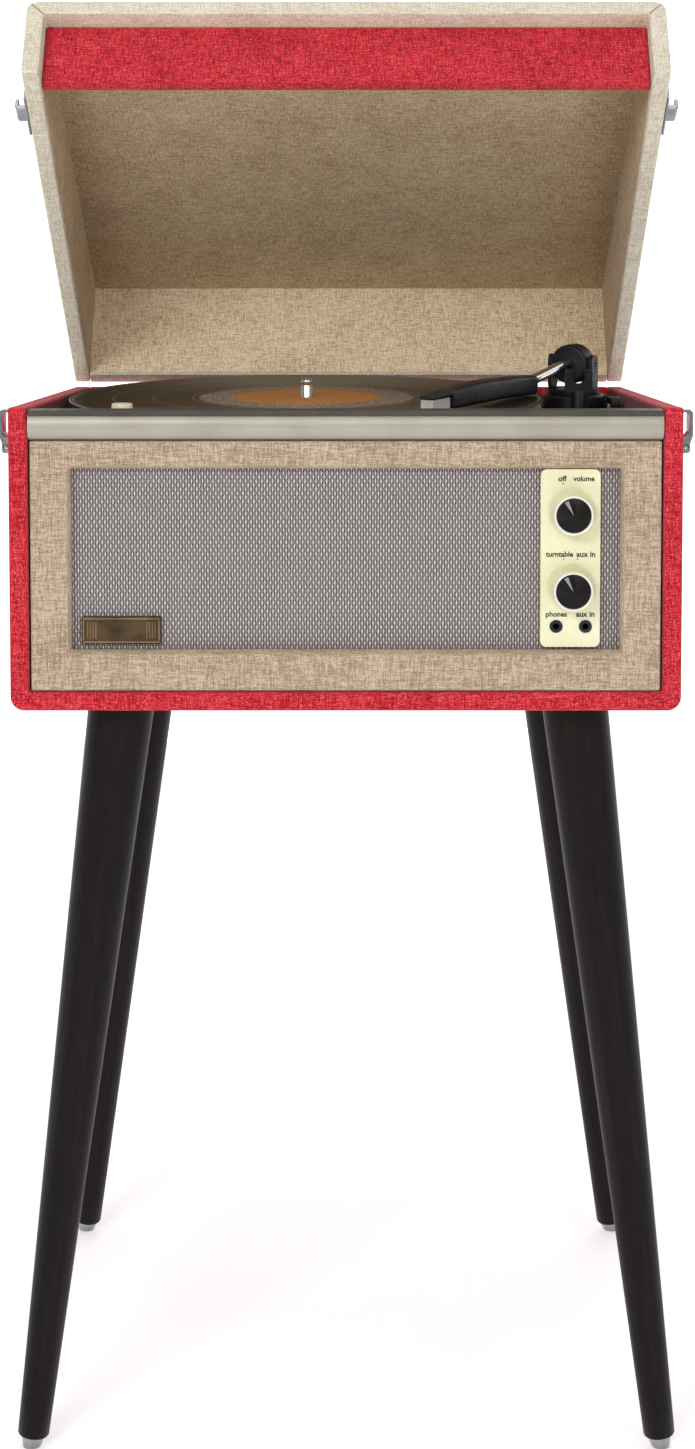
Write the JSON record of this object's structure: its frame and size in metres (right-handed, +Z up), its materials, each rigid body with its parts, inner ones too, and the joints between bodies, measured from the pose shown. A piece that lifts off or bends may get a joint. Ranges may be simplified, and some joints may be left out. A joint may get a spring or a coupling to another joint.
{
  "type": "suitcase record player",
  "caption": "Cloth-covered suitcase record player on four splayed legs, with a hinged lid, belt-driven platter, tonearm and front controls.",
  "frame": {"origin": "on the floor, below the middle of the bounding box, with the lid open", "axes": "+X to the right seen from the front, +Y to the rear, +Z up"},
  "size_m": [0.4046, 0.4092, 0.854],
  "materials": {
    "red_cloth": "woven red linen-look cloth over fibreboard, matte",
    "cream_cloth": "woven cream linen-look cloth over fibreboard, matte",
    "front_cloth": "woven sand linen-look cloth over fibreboard, matte",
    "grille_fabric": "open grey-mauve basket weave, stretched",
    "ivory_plastic": "satin moulded ivory",
    "champagne_trim": "satin champagne",
    "bronze_badge": "dark bronzed, satin",
    "black_plastic": "satin black moulding",
    "vinyl": "grooved black vinyl with a paper label",
    "felt": "black felt",
    "platter_metal": "turned, satin",
    "chrome": "bright chrome",
    "steel": "plain steel",
    "dark_wood": "near-black brown stained wood, satin lacquer",
    "fibreboard": "raw fibreboard",
    "circuit_board": "green circuit board with its parts",
    "belt_rubber": "flat rubber belt",
    "cartridge_plastic": "pale grey moulding"
  },
  "bodies": {
    "root": {"case_left_side": "red_cloth", "case_right_side": "red_cloth", "case_bottom": "red_cloth", "case_rear_panel": "red_cloth", "rear_connector_plate": "black_plastic", "front_baffle": "front_cloth", "grille_cloth": "grille_fabric", "grille_board": "fibreboard", "control_plate": "ivory_plastic", "name_plate": "bronze_badge", "front_trim": "champagne_trim", "speaker_left": "black_plastic", "speaker_right": "black_plastic", "volume_potentiometer": "steel", "selector_switch": "steel", "phones_jack": "black_plastic", "aux_jack": "black_plastic", "amplifier_board": "circuit_board", "deck_plate": "black_plastic", "spindle": "chrome", "motor": "steel", "drive_belt": "belt_rubber", "tonearm_base": "black_plastic", "arm_rest": "black_plastic", "hinge_left_case_leaf": "steel", "hinge_right_case_leaf": "steel", "latch_left_base": "chrome", "latch_right_base": "chrome", "leg_front_left": "dark_wood", "leg_front_right": "dark_wood", "leg_rear_left": "dark_wood", "leg_rear_right": "dark_wood", "glide_front_left": "steel", "glide_front_right": "steel", "glide_rear_left": "steel", "glide_rear_right": "steel"},
    "lid": {"lid_top_panel": "cream_cloth", "lid_left_side": "cream_cloth", "lid_right_side": "cream_cloth", "lid_rear_wall": "cream_cloth", "lid_front_panel": "red_cloth", "hinge_left_lid_leaf": "steel", "hinge_right_lid_leaf": "steel", "latch_left_keeper": "chrome", "latch_right_keeper": "chrome"},
    "platter": {"platter": "platter_metal", "slipmat": "felt", "record": "vinyl"},
    "motor_pulley": {"motor_pulley": "steel"},
    "tonearm_turret": {"tonearm_turret": "black_plastic"},
    "tonearm": {"tonearm_collar": "black_plastic", "tonearm_tube": "chrome", "head_cover": "black_plastic", "cartridge": "cartridge_plastic"},
    "cue_lever": {"cue_lever": "black_plastic"},
    "volume_knob": {"volume_knob": "ivory_plastic"},
    "selector_knob": {"selector_knob": "ivory_plastic"},
    "speed_knob": {"speed_knob": "ivory_plastic"},
    "latch_left_lever": {"latch_left_lever": "chrome"},
    "latch_right_lever": {"latch_right_lever": "chrome"}
  },
  "joints": [
    {"name": "lid_hinge", "type": "hinge", "parent": "root", "child": "lid", "pos_m": [0, 0.1564, 0.59786], "axis": [-1, 0, 0], "range_deg": [-33.6, 41]},
    {"name": "platter_spin", "type": "hinge", "parent": "root", "child": "platter", "pos_m": [-0.026, -0.0126, 0.5985], "axis": [0, 0, 1], "continuous": true},
    {"name": "pulley_spin", "type": "hinge", "parent": "root", "child": "motor_pulley", "pos_m": [-0.08115, 0.04255, 0.5935], "axis": [0, 0, 1], "continuous": true},
    {"name": "tonearm_swing", "type": "hinge", "parent": "root", "child": "tonearm_turret", "pos_m": [0.1495, 0.0554, 0.6222], "axis": [0, 0, 1], "range_deg": [-22.5, 11]},
    {"name": "tonearm_lift", "type": "hinge", "parent": "tonearm_turret", "child": "tonearm", "pos_m": [0.1495, 0.0554, 0.6222], "axis": [-0.8763, 0.4818, 0], "range_deg": [0, 10]},
    {"name": "cue_lever_tilt", "type": "hinge", "parent": "root", "child": "cue_lever", "pos_m": [0.1725, 0.0554, 0.5985], "axis": [-1, 0, 0], "range_deg": [0, 30]},
    {"name": "volume_turn", "type": "hinge", "parent": "root", "child": "volume_knob", "pos_m": [0.1292, -0.1946, 0.5585], "axis": [0, 1, 0], "range_deg": [0, 300]},
    {"name": "selector_turn", "type": "hinge", "parent": "root", "child": "selector_knob", "pos_m": [0.1292, -0.1946, 0.515], "axis": [0, 1, 0], "range_deg": [0, 30]},
    {"name": "speed_turn", "type": "hinge", "parent": "root", "child": "speed_knob", "pos_m": [-0.131, -0.1496, 0.5985], "axis": [0, 0, 1], "range_deg": [-30, 30]},
    {"name": "left_latch_swing", "type": "hinge", "parent": "root", "child": "latch_left_lever", "pos_m": [-0.198, -0.1476, 0.5925], "axis": [0, -1, 0], "range_deg": [0, 90]},
    {"name": "right_latch_swing", "type": "hinge", "parent": "root", "child": "latch_right_lever", "pos_m": [0.198, -0.1476, 0.5925], "axis": [0, 1, 0], "range_deg": [0, 90]}
  ],
  "couplings": [
    {"joint": "pulley_spin", "follows": "platter_spin", "ratio": 15},
    {"joint": "cue_lever_tilt", "follows": "tonearm_lift", "ratio": 3}
  ]
}
